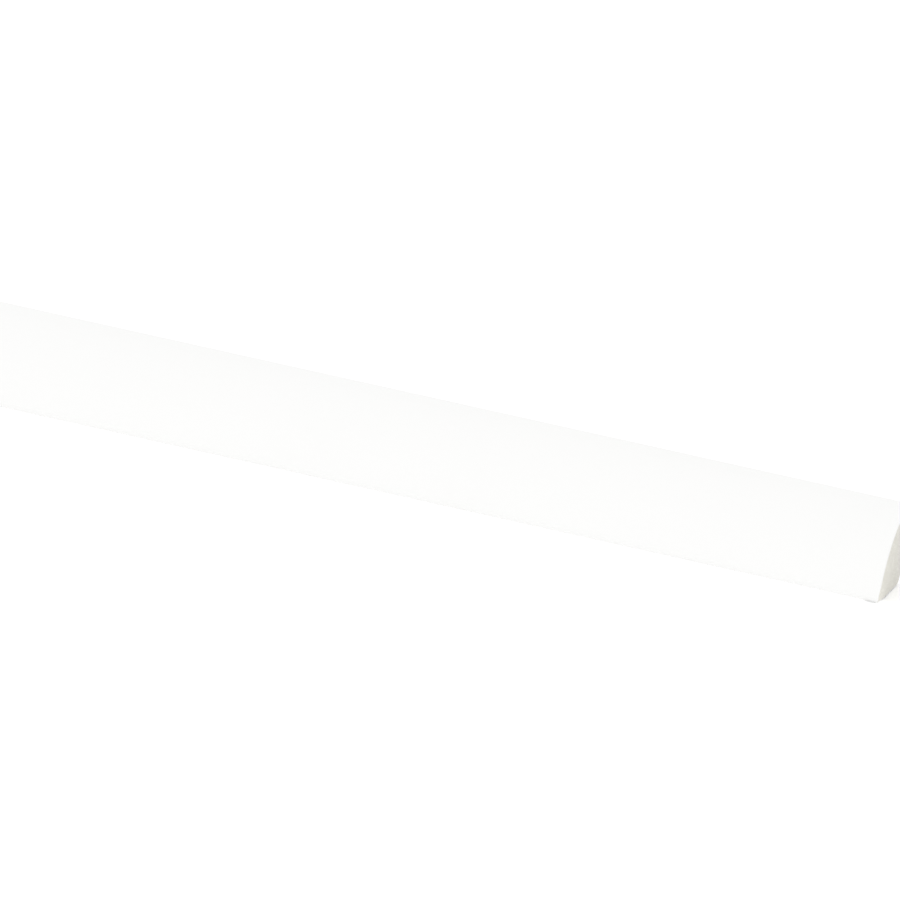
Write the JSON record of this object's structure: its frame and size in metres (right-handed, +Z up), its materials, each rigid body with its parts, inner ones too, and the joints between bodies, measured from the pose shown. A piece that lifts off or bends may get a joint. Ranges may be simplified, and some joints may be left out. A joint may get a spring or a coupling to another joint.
{
  "type": "quarter round moulding",
  "caption": "Solid white trim strip of quarter-disc section, with flats at right angles and a round face, run along an inside corner such as floor and wall to cover the joint.",
  "frame": {"origin": "on the floor, under the middle of the section and half way along the stick", "axes": "+X along the stick, +Y out of the flat that stands against the wall, +Z up from the flat that lies on the floor"},
  "size_m": [2.4384, 0.0189, 0.019],
  "materials": {
    "white_foamed_plastic": "satin white skin, dull finely celled saw-cut ends"
  },
  "bodies": {
    "root": {"quarter_round": "white_foamed_plastic"}
  },
  "joints": []
}
